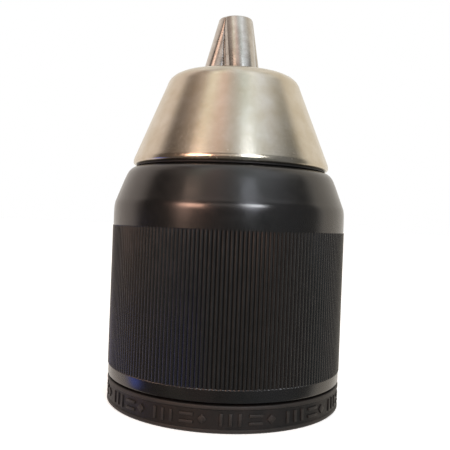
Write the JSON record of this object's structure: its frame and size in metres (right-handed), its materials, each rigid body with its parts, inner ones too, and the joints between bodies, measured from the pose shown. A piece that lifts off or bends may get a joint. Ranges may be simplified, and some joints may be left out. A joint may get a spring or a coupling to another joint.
{
  "type": "keyless drill chuck",
  "caption": "Keyless drill chuck with a knurled black sleeve, tapered nickel nose and three self-centring jaws driven by a split nut.",
  "frame": {"origin": "centre of the rear face, on the chuck's axis", "axes": "+Z along the chuck's axis from the rear face towards the jaws; -Y towards the viewer"},
  "size_m": [0.043, 0.043, 0.0711],
  "materials": {
    "machined_steel": "machined",
    "satin_nickel": "satin nickel plate",
    "black_nylon": "matte",
    "black_oxide": "rough black oxide",
    "bearing_steel": "polished",
    "black_sleeve": "semi-gloss black",
    "nut_steel": "phosphated",
    "cage_brass": "satin",
    "jaw_steel": "ground"
  },
  "bodies": {
    "body": {"chuck_body": "machined_steel", "nosepiece": "satin_nickel", "front_washer": "black_nylon", "rear_ring": "black_oxide", "thrust_race_rear": "bearing_steel"},
    "sleeve": {"sleeve_jacket": "black_sleeve", "drive_insert": "black_nylon", "nut_half_a": "nut_steel", "nut_half_b": "nut_steel", "nut_band": "machined_steel", "thrust_race_front": "bearing_steel"},
    "cage": {"ball_cage": "cage_brass", "ball_01": "bearing_steel", "ball_02": "bearing_steel", "ball_03": "bearing_steel", "ball_04": "bearing_steel", "ball_05": "bearing_steel", "ball_06": "bearing_steel", "ball_07": "bearing_steel", "ball_08": "bearing_steel", "ball_09": "bearing_steel", "ball_10": "bearing_steel", "ball_11": "bearing_steel", "ball_12": "bearing_steel", "ball_13": "bearing_steel", "ball_14": "bearing_steel", "ball_15": "bearing_steel", "ball_16": "bearing_steel", "ball_17": "bearing_steel", "ball_18": "bearing_steel", "ball_19": "bearing_steel", "ball_20": "bearing_steel", "ball_21": "bearing_steel", "ball_22": "bearing_steel", "ball_23": "bearing_steel", "ball_24": "bearing_steel"},
    "jaw_1": {"jaw_1": "jaw_steel"},
    "jaw_2": {"jaw_2": "jaw_steel"},
    "jaw_3": {"jaw_3": "jaw_steel"}
  },
  "joints": [
    {"name": "sleeve_turn", "type": "hinge", "parent": "body", "child": "sleeve", "pos_m": [0, 0, 0], "axis": [0, 0, 1], "range_deg": [0, 5076]},
    {"name": "cage_orbit", "type": "hinge", "parent": "body", "child": "cage", "pos_m": [0, 0, 0], "axis": [0, 0, 1], "range_deg": [0, 2539]},
    {"name": "jaw_1_slide", "type": "slide", "parent": "body", "child": "jaw_1", "axis": [0.0914, -0.2511, -0.9636], "range_m": [0, 0.0224]},
    {"name": "jaw_2_slide", "type": "slide", "parent": "body", "child": "jaw_2", "axis": [0.1718, 0.2047, -0.9636], "range_m": [0, 0.0224]},
    {"name": "jaw_3_slide", "type": "slide", "parent": "body", "child": "jaw_3", "axis": [-0.2632, 0.0464, -0.9636], "range_m": [0, 0.0224]}
  ],
  "couplings": [
    {"joint": "cage_orbit", "follows": "sleeve_turn", "ratio": 0.5},
    {"joint": "jaw_1_slide", "follows": "sleeve_turn", "m_per_rad": 0.00025266},
    {"joint": "jaw_2_slide", "follows": "sleeve_turn", "m_per_rad": 0.00025266},
    {"joint": "jaw_3_slide", "follows": "sleeve_turn", "m_per_rad": 0.00025266}
  ]
}
